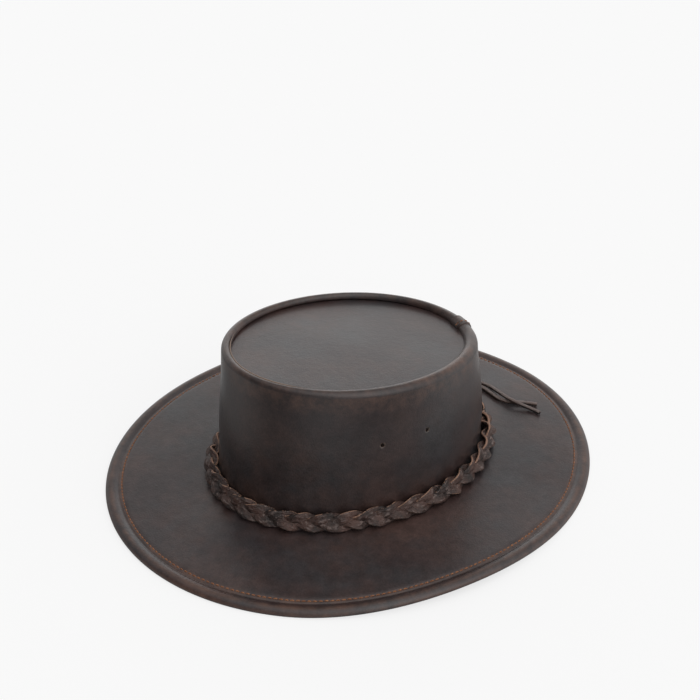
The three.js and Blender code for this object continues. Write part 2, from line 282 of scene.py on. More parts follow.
def hat_leather(name, shade=1.0, holes=()):
    """Dark waxed leather, mottled warm and cool, rusty where it is bent or punched. The rusty colour also
    paints light: a highlight on the brim's bead, and a lighter top on the rim's roll with painted shade down
    its sides. The shade factor darkens a whole copy; on the crown it is painted shade.
    """
    finish = Finish(bpy.data.materials.new(name))
    patches = finish.clouds(PATCHES, 4, 0.6)
    cool_patches = finish.clouds(COOL_PATCHES, 4, 0.6, shift=3.1)
    mottle = finish.clouds(MOTTLE, 5, 0.65, shift=1.7)
    specks = finish.clouds(SPECKS, 3, 0.7, shift=0.6)
    wear = finish.measure("wear")
    raw = finish.measure("raw")
    for hole in holes:
        ring = 1 - finish.distance(finish.place(), hole).between(PUNCHED_RING[0] * MM, PUNCHED_RING[1] * MM)
        raw = raw + ring * specks.between(0.4, 0.7) * 0.4
    colour = finish.blend(patches.between(0.38, 0.66), DARK_BROWN, WARM_BROWN)
    colour = finish.blend(cool_patches.between(0.46, 0.66) * 0.8, colour, COOL_BROWN)
    # shade darkens this whole copy of the leather; the crown's low shade is painted shade.
    tone = shade * (0.74 + 0.52 * mottle.between(0.3, 0.7))
    tone = tone * (0.80 + 0.40 * specks.between(0.3, 0.7))
    grey = finish.node("ShaderNodeCombineColor", None, {0: tone, 1: tone, 2: tone})
    colour = finish.blend(1.0, colour, grey, "MULTIPLY")
    # Rusty worn leather, which also carries painted light: a painted highlight on the brim's bead and painted
    # shade on the sides of the rim's roll.
    worn = (wear * (0.3 + 1.3 * mottle.between(0.35, 0.75))).between(0.1, 0.95)
    colour = finish.blend(worn * 0.6, colour, RUST_WEAR_AND_PAINTED_LIGHT)
    colour = finish.blend(raw, colour, RAW_EDGE)
    rough = HAT_ROUGHNESS + 0.12 * (mottle - 0.5) - 0.1 * (cool_patches - 0.5) + 0.3 * raw
    grain = finish.cells(GRAIN)
    pores = finish.clouds(PORES, 2, 0.6)
    creases = finish.clouds(CREASES, 6, 0.72, shift=5.3)
    normal = finish.relief(creases, CREASE_DEPTH, 0.45)
    normal = finish.relief(grain * -0.6 + pores * 0.4, GRAIN_DEPTH, 0.6, normal)
    return finish.surface({
        "Base Color": colour,
        "Roughness": rough,
        "Normal": normal,
        "IOR": LEATHER_IOR,
        "Coat Weight": WAX_COAT,
        "Coat Roughness": WAX_COAT_ROUGHNESS,
    })


LACE_DARK = (0.021, 0.012, 0.010)
LACE_BROWN = (0.084, 0.042, 0.032)
# Whitish painted sheen, laid on the wrinkle crests as a painted highlight.
LACE_PAINTED_SHEEN = (0.195, 0.145, 0.130)
LACE_CUT = (0.340, 0.195, 0.135)
# Near black painted shade, laid on the lace's sides, underside and wrinkle hollows.
LACE_PAINTED_SHADE = (0.012, 0.007, 0.006)
LACE_ROUGHNESS = 0.34
# How many of each mark lie along a metre of lace, and how deep they are in metres
LACE_PATCHES = 75
LACE_MOTTLE = 420
LACE_FIBRES = 1500
WRINKLE_DEPTH = 0.0024
LACE_MOTTLE_DEPTH = 0.0005
FIBRE_DEPTH = 0.0002
# Wrinkles along each millimetre of a lace, and from its middle to its side
WRINKLES_ALONG = 0.22
WRINKLES_ACROSS = 1.5


def lace_leather(name, painted_sheen=0.0, pale_edges=1.0):
    """Cut leather lace, wrinkled lengthwise, with odd pale cut edges. Painted shade darkens its sides,
    underside and wrinkle hollows; a painted sheen lightens its wrinkle crests, and the whole lace by a given
    share.
    """
    finish = Finish(bpy.data.materials.new(name))
    patches = finish.clouds(LACE_PATCHES, 3, 0.6, shift=7.7)
    mottle = finish.clouds(LACE_MOTTLE, 5, 0.7, shift=2.2)
    run, side = finish.measure("run") * WRINKLES_ALONG, finish.measure("side") * WRINKLES_ACROSS
    along = finish.node("ShaderNodeCombineXYZ", None, {0: run, 1: side})
    wrinkles = finish.clouds(1, 4, 0.6, place=along)
    cut = finish.measure("cut")
    frayed = finish.measure("frayed")
    colour = finish.blend(patches.between(0.36, 0.62), LACE_DARK, LACE_BROWN)
    # Painted shade in the wrinkle hollows, painted sheen on the wrinkle crests.
    colour = finish.blend(wrinkles.between(0.46, 0.34) * 0.5, colour, LACE_PAINTED_SHADE)
    colour = finish.blend(wrinkles.between(0.54, 0.64) * 0.7, colour, LACE_PAINTED_SHEEN)
    # The given share blends the whole lace towards the painted sheen colour: painted highlight.
    colour = finish.blend(painted_sheen, colour, LACE_PAINTED_SHEEN)
    # Painted shade on the lace's sides, where laces meet and gaps open.
    colour = finish.blend((cut * 2.4).between(0, 1), colour, LACE_PAINTED_SHADE)
    bare = (cut + frayed * (mottle - 0.2)) * (patches + 0.8 * mottle + 0.1 * frayed).between(0.76, 0.94)
    edge = bare.between(0.25, 0.7) * pale_edges
    colour = finish.blend(edge, colour, LACE_CUT)
    # Painted shade on the faces that look down.
    outside = finish.node("ShaderNodeNewGeometry", output="Normal")
    underside = finish.towards(outside, (0, 0, -1)).between(-0.15, 0.35)
    colour = finish.blend(underside, colour, LACE_PAINTED_SHADE)
    rough = LACE_ROUGHNESS + 0.2 * mottle + 0.3 * edge
    fibres = finish.clouds(LACE_FIBRES, 4, 0.75)
    normal = finish.relief(wrinkles, WRINKLE_DEPTH)
    normal = finish.relief(mottle, LACE_MOTTLE_DEPTH, 0.5, normal)
    normal = finish.relief(fibres, FIBRE_DEPTH, 0.5, normal)
    return finish.surface({"Base Color": colour, "Roughness": rough, "Normal": normal, "IOR": LEATHER_IOR})


THREAD_DARK = (0.20, 0.070, 0.028)
THREAD_LIGHT = (0.38, 0.165, 0.075)
THREAD_PATCHES = 420
THREAD_STRANDS = 3
STRAND_DEPTH = 0.00012


def sewing_thread():
    """Waxed rust-coloured thread of twisted strands."""
    finish = Finish(bpy.data.materials.new("rust_thread"))
    shade = finish.clouds(THREAD_PATCHES, 3, 0.6)
    colour = finish.blend(shade.between(0.3, 0.7), THREAD_DARK, THREAD_LIGHT)
    turn = finish.measure("twist")
    ply = finish.node("ShaderNodeMath", {"operation": "SINE"}, {0: turn * (FULL_TURN * THREAD_STRANDS)})
    normal = finish.relief(ply, STRAND_DEPTH, 0.8)
    return finish.surface({"Base Color": colour, "Roughness": 0.62, "Normal": normal})


def studio_floor():
    finish = Finish(bpy.data.materials.new("studio_floor"))
    # The floor glows evenly, with painted shade under the hat: the glow fades to black from under the brim in
    # to under the crown.
    away = finish.distance(finish.place(), (0, 0, 0)).between(CROWN_TOP[1] / 2 * MM, BRIM_WIDTH / 2 * MM)
    glow_and_painted_shade = finish.blend(away, (0, 0, 0), (1, 1, 1))
    return finish.surface({
        "Base Color": (FLOOR_WHITE, FLOOR_WHITE, FLOOR_WHITE),
        "Roughness": 0.9,
        "Specular IOR Level": 0.0,
        "Emission Color": glow_and_painted_shade,
        "Emission Strength": FLOOR_GLOW,
    })


# Meshes

def make_piece(name, points, faces, material, measures=None, replaces=()):
    mesh = bpy.data.meshes.new(name)
    mesh.from_pydata((np.asarray(points) * MM).tolist(), [], faces)
    for measure, values in (measures or {}).items():
        layer = mesh.attributes.new(measure, "FLOAT", "POINT")
        layer.data.foreach_set("value", np.asarray(values, dtype=np.float32).ravel())
    shell = bmesh.new()
    shell.from_mesh(mesh)
    bmesh.ops.recalc_face_normals(shell, faces=shell.faces)
    shell.to_mesh(mesh)
    shell.free()
    mesh.polygons.foreach_set("use_smooth", [True] * len(mesh.polygons))
    mesh.materials.append(material)
    piece = bpy.data.objects.new(name, mesh)
    bpy.context.collection.objects.link(piece)
    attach(piece, "root")
    if replaces:
        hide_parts(*replaces)
    return piece


def ring_faces(rows, columns, first=0):
    """Faces of a surface whose rows and columns both run round and meet themselves."""
    row, column = np.meshgrid(np.arange(rows), np.arange(columns), indexing="ij")
    next_row, next_column = (row + 1) % rows, (column + 1) % columns
    corners = [row * columns + column, row * columns + next_column,
               next_row * columns + next_column, next_row * columns + column]
    return (np.stack(corners, axis=-1).reshape(-1, 4) + first).tolist()


def tube_faces(rows, columns, first=0):
    """Faces of a closed tube of rings, with both its ends capped by a fan."""
    faces = []
    for row in range(rows - 1):
        for column in range(columns):
            beside = (column + 1) % columns
            here, there = first + row * columns, first + (row + 1) * columns
            faces.append((here + column, here + beside, there + beside, there + column))
    faces.append(tuple(first + column for column in reversed(range(columns))))
    faces.append(tuple(first + (rows - 1) * columns + column for column in range(columns)))
    return faces


def smooth_step(value, low, high):
    share = np.clip((np.asarray(value, dtype=float) - low) / (high - low), 0, 1)
    return share * share * (3 - 2 * share)


def curve_through(points, steps):
    """Points on a smooth curve through the given ones."""
    known = np.asarray(points, dtype=float)
    ends = np.vstack([2 * known[0] - known[1], known, 2 * known[-1] - known[-2]])
    curve = []
    for before, start, end, after in zip(ends, ends[1:], ends[2:], ends[3:]):
        for share in np.arange(steps) / steps:
            curve.append(0.5 * (2 * start + (end - before) * share
                                + (2 * before - 5 * start + 4 * end - after) * share ** 2
                                + (3 * start - before - 3 * end + after) * share ** 3))
    return np.array(curve + [known[-1]])


def waver(angle, seed, waves, along=0.0):
    """A slow, uneven wave round the hat, between about -1 and 1, that meets itself."""
    draw = np.random.default_rng(seed)
    total = np.zeros(np.broadcast(angle, along).shape)
    for wave in waves:
        start, slope = draw.uniform(0, FULL_TURN), draw.uniform(-1.5, 1.5)
        total = total + np.sin(wave * angle + start + slope * along) / math.sqrt(len(waves))
    return total


# The hat's own curves

def oval(length, width, angle, fullness=0.0):
    across = width / 2 * np.sin(angle) * (1 + fullness * np.cos(angle))
    return np.stack([across, -length / 2 * np.cos(angle)], axis=-1)


def oval_normal(length, width, angle):
    normal = np.stack([np.sin(angle) / width, -np.cos(angle) / length], axis=-1)
    return normal / np.linalg.norm(normal, axis=-1, keepdims=True)


def lifted(flat, height):
    return np.concatenate([flat, np.broadcast_to(height, flat.shape[:-1])[..., None]], axis=-1)


def foot_height(angle):
    return FOOT_HEIGHT + FOOT_TILT * np.cos(angle)


def rim_height(flat):
    towards_front = (CROWN_TOP_SHIFT - flat[..., 1]) / (CROWN_TOP[0] / 2)
    towards_left = flat[..., 0] / (CROWN_TOP[1] / 2)
    return RIM_HEIGHT + RIM_TILT_FRONT * towards_front + RIM_TILT_LEFT * towards_left


def crown_foot(angle, outward=0.0):
    reach = np.asarray(outward)[..., None] * oval_normal(*CROWN_BASE, angle)
    return oval(*CROWN_BASE, angle) + reach


def crown_rim(angle, outward=0.0):
    reach = np.asarray(outward)[..., None] * oval_normal(*CROWN_TOP, angle)
    return oval(*CROWN_TOP, angle) + reach + [0, CROWN_TOP_SHIFT]


def seam_rise(angle):
    reach = CROWN_TOP[1] / 2 * np.abs(angle - math.radians(SEAM_ANGLE))
    return SEAM_RISE * (1 - smooth_step(reach, SEAM_HALF_WIDTH, SEAM_HALF_WIDTH + SEAM_EDGE))


def far_side(angle):
    """1 on the side that is far from the camera, where the roll drops steeply to the flat top."""
    return np.maximum(np.cos(angle - math.radians(FAR_ANGLE)), 0) ** 2


def rim_bulge(angle):
    """The crown is pushed out a little on the right of the photo."""
    return BULGE * np.exp(-((angle - math.radians(ROLL_WIDE_ANGLE)) / BULGE_SPREAD) ** 2)


def roll_radius(angle):
    """The rim's roll is wider on the right of the photo than on the left."""
    return ROLL + ROLL_UNEVEN * np.cos(angle - math.radians(ROLL_WIDE_ANGLE))


def crown_wall(angle, share, outward=0.0):
    """Points on the crown's wall, at a share of its height from the brim to the roll."""
    rim = crown_rim(angle, outward)
    flat = crown_foot(angle, outward) * (1 - share) + rim * share
    low, high = foot_height(angle) + GAP, rim_height(rim) - roll_radius(angle)
    return lifted(flat, low * (1 - share) + high * share)


def rim_roll(angle, turn, outward=0.0):
    """Points on the rim's roll, at a turn from the outside over the top to the inside."""
    middle = roll_radius(angle)
    radius = middle + outward
    steeper = 1 - FAR_STEEPNESS * far_side(angle) if turn > 90 else 1
    reach = radius * math.cos(math.radians(turn)) * steeper
    flat = crown_rim(angle, rim_bulge(angle) - middle + reach)
    return lifted(flat, rim_height(flat) - middle + radius * math.sin(math.radians(turn)))


def side_lift(angle):
    degrees = np.degrees(angle)
    rises = [rise * (1 - smooth_step(np.abs((degrees - middle + 180) % 360 - 180), 0, reach))
             for middle, reach, rise in BRIM_LIFTS]
    return np.maximum(*rises)


# Brim

# The hem's upper side: distances inwards from the edge, and heights above the brim's sloping line
HEM_TOP = [
    (30, 0), (22, 0), (17, 0), (14.5, -0.03), (13.0, -0.2), (12.3, -0.42), (11.8, -0.5), (11.2, -0.45),
    (10.4, -0.55), (9.4, -0.85), (8.6, -0.6), (7.4, 0.1), (6.0, 0.55), (4.4, 0.74), (3.0, 0.6),
    (1.7, 0.1), (0.8, -0.65), (0.2, -1.6), (0, -2.4),
]
# The underside of the hem, with heights above the line that it stands on
HEM_FOOT = [(0.05, 1.5), (0.35, 0.7), (0.9, 0.2), (1.8, 0), (5, 0), (9, 0), (12.5, 0)]
BRIM_STATIONS = 720
BRIM_SPAN_STEPS = 16
BRIM_SAG = 0.35


def brim_slope(angle, inward, span):
    edge = BRIM_EDGE_TOP + side_lift(angle)
    share = np.minimum(inward / span, 1)
    return edge * (1 - share) + foot_height(angle) * share


def brim_point(angle, inward, height):
    """A point of the hem, at a distance inwards from the brim's edge."""
    edge = oval(BRIM_LENGTH, BRIM_WIDTH, angle, BRIM_FULLNESS)
    return lifted(edge - inward * oval_normal(BRIM_LENGTH, BRIM_WIDTH, angle), height)


def make_brim(material):
    angle = np.arange(BRIM_STATIONS) * FULL_TURN / BRIM_STATIONS
    edge = oval(BRIM_LENGTH, BRIM_WIDTH, angle, BRIM_FULLNESS)
    foot = crown_foot(angle)
    span = np.linalg.norm(edge - foot, axis=-1)
    lift = side_lift(angle)
    rows, wear = [], []

    def add(row, worn=0.0):
        rows.append(row)
        wear.append(np.full(BRIM_STATIONS, worn))

    inner_edge = crown_foot(angle, -LEATHER - 1)
    add(lifted(inner_edge, foot_height(angle)))
    hem_start = HEM_TOP[0][0]
    for share in np.linspace(0, 1, BRIM_SPAN_STEPS, endpoint=False):
        hem = brim_point(angle, hem_start, 0)[:, :2]
        flat = foot * (1 - share) + hem * share
        inward = (1 - share) * span + share * hem_start
        sag = BRIM_SAG * math.sin(math.pi * share) * waver(angle, 5, (2, 3, 5), 3 * share)
        add(lifted(flat, brim_slope(angle, inward, span) + sag))
    for inward, above in curve_through(HEM_TOP, 3):
        inward = max(inward, 0)
        height = brim_slope(angle, inward, span) + above
        # Rusty worn leather at the bead's crest, the outer edge and the stitch line; the bead's crest is
        # lightened further as a painted highlight.
        worn = (0.7 * math.exp(-((inward - 4.2) / 2.0) ** 2) + 0.6 * math.exp(-(inward / 1.0) ** 2)
                + 0.75 * math.exp(-((inward - STITCH_INWARD + 0.6) / 1.9) ** 2))
        add(brim_point(angle, inward, height), worn)
    for inward, above in curve_through(HEM_FOOT, 2):
        add(brim_point(angle, inward, lift + above), 0.3)
    under = brim_point(angle, HEM_WIDTH, brim_slope(angle, HEM_WIDTH, span) - LEATHER)
    add(under)
    for share in (0.25, 0.5, 0.75):
        inward = share * span + (1 - share) * HEM_WIDTH
        flat = foot * share + under[:, :2] * (1 - share)
        add(lifted(flat, brim_slope(angle, inward, span) - LEATHER))
    add(lifted(inner_edge, foot_height(angle) - LEATHER))
    points = np.stack(rows)
    faces = ring_faces(len(rows), BRIM_STATIONS)
    make_piece("brim_leather", points.reshape(-1, 3), faces, material,
               {"wear": np.stack(wear), "raw": np.zeros(points.shape[:2])}, replaces=["brim"])


# Crown

CROWN_STATIONS = 540
WALL_STEPS = 44
WALL_DENT = 0.6
# The zone round the seam, in millimetres to each side, that gets closer stations
SEAM_ZONE = 8
SEAM_STATIONS = 65
PUNCH_DEPTH_M = 0.02

# The rim's roll, by its turn: on the near left the leather's cut edge shows as a fine pale lip, with
# a narrow slit behind it. Rises are outward from the roll.
ROLL_TURNS = (*range(9, 96, 9), *range(96, 162, 3), 166, 173, 180)
LIP_TURNS = (122, 146)
LIP_RISE = 0.55
LIP_SLIT = 1.3
LIP_ANGLES = (-42, -26, 30, 52)
WEAR_ANGLES = (88, 108, 136, 150)
ROLL_INSIDE_STEPS = 11


def crown_angles():
    """Angles round the crown, closer together where the back seam steps."""
    per_mm = 360 / (math.pi * CROWN_TOP[1])
    near = SEAM_ANGLE + np.linspace(-SEAM_ZONE, SEAM_ZONE, SEAM_STATIONS) * per_mm
    even = np.arange(CROWN_STATIONS) * 360 / CROWN_STATIONS
    even = even[np.abs(even - SEAM_ANGLE) > (SEAM_ZONE + GAP) * per_mm]
    return np.radians(np.sort(np.concatenate([even, near])))


def make_crown(material):
    angle = crown_angles()
    lap = seam_rise(angle)
    rows, wear, raw = [], [], []

    def add(row, worn=0.0, bare=0.0):
        rows.append(row)
        wear.append(np.broadcast_to(worn, angle.shape))
        raw.append(np.broadcast_to(bare, angle.shape))

    for share in np.linspace(0, 1, WALL_STEPS):
        dent = WALL_DENT * waver(angle, 11, (2, 3, 4, 6), 4 * share) * smooth_step(share, 0.15, 0.5)
        dent *= 1 - smooth_step(share, 0.75, 1)
        dent += rim_bulge(angle) * smooth_step(share, 0.1, 0.35)
        rise = lap * smooth_step(share, *SEAM_FADE)
        worn = 0.5 * smooth_step(share, 0.8, 1)
        add(crown_wall(angle, share, dent + rise), worn)
    signed = np.degrees(np.where(angle > math.pi, angle - FULL_TURN, angle))
    lip = smooth_step(signed, *LIP_ANGLES[:2]) * (1 - smooth_step(signed, *LIP_ANGLES[2:]))
    lip_turn = LIP_TURNS[1] + (LIP_TURNS[0] - LIP_TURNS[1]) * smooth_step(signed, -20, 30)
    rubbed = smooth_step(signed, *WEAR_ANGLES[:2]) * (1 - smooth_step(signed, *WEAR_ANGLES[2:]))
    for turn in ROLL_TURNS:
        edge = np.exp(-((turn - lip_turn) / 3.6) ** 2)
        slit = np.exp(-((turn - lip_turn + 10) / 4.5) ** 2)
        # Painted shade: the roll is lighter over its top and darker down its outer and inner sides; rubbed
        # adds real rusty rubbing along the top over part of the way round.
        top = math.sin(math.radians(turn)) ** 2
        worn = 0.2 + 0.3 * top + 0.6 * rubbed * top
        add(rim_roll(angle, turn, lap + lip * (LIP_RISE * edge - LIP_SLIT * slit)), worn, 0.9 * lip * edge)
    for turn in np.linspace(180, 0, ROLL_INSIDE_STEPS):
        add(rim_roll(angle, turn, -LEATHER), bare=0.5)
    for share in np.linspace(1, 0, WALL_STEPS // 2)[1:]:
        add(crown_wall(angle, share, -LEATHER), bare=0.35)
    points = np.stack(rows)
    faces = ring_faces(len(rows), len(angle))
    crown = make_piece("crown_leather", points.reshape(-1, 3), faces, material,
                       {"wear": np.stack(wear), "raw": np.stack(raw)}, replaces=["crown_side"])
    for number, vent in enumerate(VENT_ANGLES):
        punch_vent(crown, number, math.radians(vent))


def vent_middle(angle):
    height = rim_height(crown_rim(np.array(angle))) - ROLL - foot_height(angle)
    return crown_wall(np.array(angle), VENT_HEIGHT / height)


def punch_vent(crown, number, angle):
    """A round hole through the crown's wall."""
    middle = vent_middle(angle)
    normal = oval_normal(*CROWN_BASE, angle)
    punch_mesh = bpy.data.meshes.new("vent_punch")
    shell = bmesh.new()
    bmesh.ops.create_cone(shell, cap_ends=True, segments=20, radius1=VENT_RADIUS * MM,
                          radius2=VENT_RADIUS * MM, depth=PUNCH_DEPTH_M)
    shell.to_mesh(punch_mesh)
    shell.free()
    punch = bpy.data.objects.new("vent_punch", punch_mesh)
    bpy.context.collection.objects.link(punch)
    towards = Vector((normal[0], normal[1], 0)).to_track_quat("Z", "Y")
    punch.matrix_world = Matrix.Translation(Vector(middle * MM)) @ towards.to_matrix().to_4x4()
    cut = crown.modifiers.new(f"vent_{number}", "BOOLEAN")
    cut.operation = "DIFFERENCE"
    cut.object = punch
    bpy.context.view_layer.update()
    with bpy.context.temp_override(object=crown, active_object=crown):
        bpy.ops.object.modifier_apply(modifier=cut.name)
    bpy.data.objects.remove(punch)


TOP_RINGS = 30
TOP_SWELL = 0.5


def top_unevenness(flat):
    """Slow, low waves over the flat top, between about -1 and 1."""
    across, along = flat[..., 0] / CROWN_TOP[1], flat[..., 1] / CROWN_TOP[0]
    return 0.6 * np.sin(5 * across + 4 * along + 0.8) + 0.4 * np.sin(9 * along - 4 * across + 2.0)


def make_crown_top(material):
    angle = crown_angles()
    rows = []
    middle = np.array([0, CROWN_TOP_SHIFT])
    rim = crown_rim(angle, -LEATHER - GAP)
    for share in np.linspace(1, 0.02, TOP_RINGS):
        flat = middle + (rim - middle) * share
        swell = TOP_SWELL * (1 - share ** 2) * top_unevenness(flat)
        sink = FAR_SINK * far_side(angle) * share ** 2
        rows.append(lifted(flat, rim_height(flat) - TOP_DEPTH + swell - sink))
    upper = np.stack(rows)
    lower = upper[::-1].copy()
    lower[..., 2] -= LEATHER
    points = np.concatenate([upper, lower]).reshape(-1, 3)
    count, columns = 2 * TOP_RINGS, len(angle)
    faces = []
    for row in range(count):
        if row == TOP_RINGS - 1:
            continue
        for column in range(columns):
            beside, below = (column + 1) % columns, (row + 1) % count
            faces.append((row * columns + column, row * columns + beside,
                          below * columns + beside, below * columns + column))
    inner = TOP_RINGS - 1
    faces.append(tuple(inner * columns + column for column in range(columns)))
    faces.append(tuple((inner + 1) * columns + column for column in reversed(range(columns))))
    nothing = np.zeros(len(points))
    make_piece("crown_top_leather", points, faces, material, {"wear": nothing, "raw": nothing},
               replaces=["crown_top"])


# Plait

LACE_STEPS = 1300
LACE_SIDES = 24
# Handwork: how much the laces' swing, puff, roll (in radians) and width vary along the plait
SWAY_UNEVENNESS = 0.07
PUFF = 0.12
ROLL_UNEVENNESS = 0.2
WIDTH_UNEVENNESS = 0.09
FRAYED_ANGLES = (-38, 160)
FRAYED_SPREAD = 17


def plait_reach(across, through):
    """How far the plait reaches from its middle in one direction of its section."""
    phase = np.arange(72) * FULL_TURN / 72
    roll = math.radians(LACE_ROLL) * np.cos(phase)
    wide = across * np.cos(roll) + through * np.sin(roll)
    thick = through * np.cos(roll) - across * np.sin(roll)
    own = np.hypot(LACE_HALF_WIDTH * wide, LACE_HALF_THICKNESS * thick)
    return np.max(across * PLAIT_SWAY * np.sin(phase) + through * PLAIT_WAVE * np.sin(2 * phase) + own)


def plait_frame(angle):
    """The plait's middle, and the directions across its width and through its thickness."""
    lean = math.radians(PLAIT_LEAN)
    normal = lifted(oval_normal(*CROWN_BASE, angle), 0)
    along = CROWN_BASE[1] / 2 * np.abs(angle - math.radians(KNOT_ANGLE))
    out_of_way = 1 - smooth_step(along, KNOT_HALF_LENGTH, KNOT_HALF_LENGTH + KNOT_FADE)
    bulge = (KNOT_ROOM + KNOT_WALL + KNOT_TURN_RISE / 2) * out_of_way
    to_wall = plait_reach(math.sin(lean), -math.cos(lean))
    to_brim = plait_reach(-math.cos(lean), -math.sin(lean))
    middle = crown_wall(angle, PLAIT_TOUCH / RIM_HEIGHT, GAP + to_wall + bulge)
    middle[..., 2] = foot_height(angle) + GAP + to_brim + bulge
    up = np.array([0, 0, 1.0])
    across = up * math.cos(lean) - normal * math.sin(lean)
    through = normal * math.cos(lean) + up * math.sin(lean)
    return middle, across, through


def plait_angles(count):
    """Angles of even steps along the plait."""
    fine = np.linspace(0, FULL_TURN, 4001)
    middle = plait_frame(fine)[0]
    length = np.concatenate([[0], np.cumsum(np.linalg.norm(np.diff(middle, axis=0), axis=-1))])
    return np.interp(np.arange(count) / count * length[-1], length, fine)


def strip_section(half_width, half_thickness, sides):
    """A flat section with rounded corners, and how far each point is out to a cut edge."""
    turn = np.arange(sides) * FULL_TURN / sides
    wide = np.sign(np.cos(turn)) * np.abs(np.cos(turn)) ** 0.6
    thick = np.sign(np.sin(turn)) * np.abs(np.sin(turn)) ** 0.85
    cut = smooth_step(np.abs(wide), 0.9, 0.985)
    return wide * half_width, thick * half_thickness, cut


def lace_measures(path, wide, cut, frayed=0.0):
    """What the laces' leather reads: the run along each lace, the side, and the cut and frayed edges."""
    run = np.concatenate([[0], np.cumsum(np.linalg.norm(np.diff(path, axis=0), axis=-1))])
    shape = (len(path), len(wide))
    side = wide / np.max(np.abs(wide))
    return {
        "run": np.broadcast_to(run[:, None], shape),
        "side": np.broadcast_to(side, shape),
        "cut": np.broadcast_to(cut, shape),
        "frayed": np.broadcast_to(np.reshape(frayed, (-1, 1)), shape),
    }


def make_plait(material):
    angle = plait_angles(LACE_STEPS)
    middle, across, through = plait_frame(angle)
    share = np.arange(LACE_STEPS) / LACE_STEPS
    wide, thick, cut = strip_section(1.0, 1.0, LACE_SIDES)
    for lace in range(3):
        phase = FULL_TURN * (PLAIT_TURNS * share + lace / 3) + math.radians(PLAIT_START_PHASE)
        loose = waver(FULL_TURN * share, 31 + lace, (9, 14, 23, 31))
        puffed = waver(FULL_TURN * share, 36 + lace, (11, 19, 27, 34))
        sway = PLAIT_SWAY * (1 + SWAY_UNEVENNESS * loose)
        centre = (middle + (sway * np.sin(phase))[:, None] * across
                  + (PLAIT_WAVE * np.sin(2 * phase) + PUFF * puffed)[:, None] * through)
        ahead = np.roll(centre, -1, axis=0) - np.roll(centre, 1, axis=0)
        ahead /= np.linalg.norm(ahead, axis=-1, keepdims=True)
        uneven = ROLL_UNEVENNESS * waver(FULL_TURN * share, 41 + lace, (13, 29, 37))
        roll = math.radians(LACE_ROLL) * np.cos(phase) + uneven
        width_way = np.cos(roll)[:, None] * across + np.sin(roll)[:, None] * through
        width_way -= np.sum(width_way * ahead, axis=-1, keepdims=True) * ahead
        width_way /= np.linalg.norm(width_way, axis=-1, keepdims=True)
        face_way = np.cross(ahead, width_way)
        broad = waver(FULL_TURN * share, 51 + lace, (7, 19, 43))
        half_width = LACE_HALF_WIDTH * (1 + WIDTH_UNEVENNESS * broad)
        points = (centre[:, None]
                  + (half_width[:, None] * wide)[..., None] * width_way[:, None]
                  + (LACE_HALF_THICKNESS * thick)[None, :, None] * face_way[:, None])
        away = [(np.degrees(angle) - worn + 180) % 360 - 180 for worn in FRAYED_ANGLES]
        frayed = sum(np.exp(-(gap / FRAYED_SPREAD) ** 2) for gap in away)
        measures = lace_measures(centre, wide, cut, frayed)
        make_piece(f"plait_lace_{lace + 1}", points.reshape(-1, 3), ring_faces(LACE_STEPS, LACE_SIDES),
                   material, measures, replaces=["hat_band"])


KNOT_TURNS = 3
KNOT_STEPS = 150
KNOT_LACE_SHARE = 0.97
KNOT_LACE_SPARE = 0.15


def make_knot(material):
    """Three turns of lace round the plait, wound side by side."""
    share = np.linspace(0, 1, KNOT_STEPS)
    turn = FULL_TURN * KNOT_TURNS * share
    pitch = 2 * KNOT_HALF_LENGTH / KNOT_TURNS
    along = -KNOT_HALF_LENGTH + pitch / 2 + (2 * KNOT_HALF_LENGTH - pitch) * share
    angle = np.radians(KNOT_ANGLE + along * 360 / (math.pi * CROWN_BASE[1]))
    middle, across, through = plait_frame(angle)
    out = np.cos(turn)[:, None] * across + np.sin(turn)[:, None] * through
    reach_across = PLAIT_SWAY + LACE_HALF_WIDTH + KNOT_ROOM + KNOT_WALL / 2
    reach_through = PLAIT_WAVE + LACE_HALF_THICKNESS + KNOT_ROOM + KNOT_WALL / 2
    centre = (middle + (reach_across * np.cos(turn))[:, None] * across
              + (reach_through * np.sin(turn))[:, None] * through)
    ahead = np.gradient(centre, axis=0)
    ahead /= np.linalg.norm(ahead, axis=-1, keepdims=True)
    face_way = out - np.sum(out * ahead, axis=-1, keepdims=True) * ahead
    face_way /= np.linalg.norm(face_way, axis=-1, keepdims=True)
    width_way = np.cross(face_way, ahead)
    wide, thick, cut = strip_section(pitch / 2 * KNOT_LACE_SHARE, KNOT_WALL / 2 + KNOT_LACE_SPARE, LACE_SIDES)
    points = (centre[:, None] + wide[None, :, None] * width_way[:, None]
              + thick[None, :, None] * face_way[:, None])
    make_piece("knot_lace", points.reshape(-1, 3), tube_faces(KNOT_STEPS, LACE_SIDES), material,
               lace_measures(centre, wide, cut), replaces=["band_knot"])


# Free laces

TAIL_SIDES = 16


def make_tail(name, route, material):
    path = curve_through(route, 6)
    ahead = np.gradient(path, axis=0)
    ahead /= np.linalg.norm(ahead, axis=-1, keepdims=True)
    flat = np.cross([0, 0, 1.0], ahead)
    flat /= np.linalg.norm(flat, axis=-1, keepdims=True)
    face_way = np.cross(ahead, flat)
    wide, thick, cut = strip_section(TAIL_WIDTH / 2, TAIL_THICKNESS / 2, TAIL_SIDES)
    points = path[:, None] + wide[None, :, None] * flat[:, None] + thick[None, :, None] * face_way[:, None]
    tail = make_piece(f"{name}_leather", points.reshape(-1, 3), tube_faces(len(path), TAIL_SIDES), material,
                      lace_measures(path, wide, cut), replaces=[name])


# Stitches

STITCH_COUNT = 277
STITCH_LENGTH = 2.9
STITCH_SCATTER = 0.06
STITCH_SINK = 0.5
THREAD_RADIUS = 0.5
THREAD_ARCH = 1.35
THREAD_END_SHARE = 0.75
THREAD_SIDES = 8
THREAD_STEPS = 9


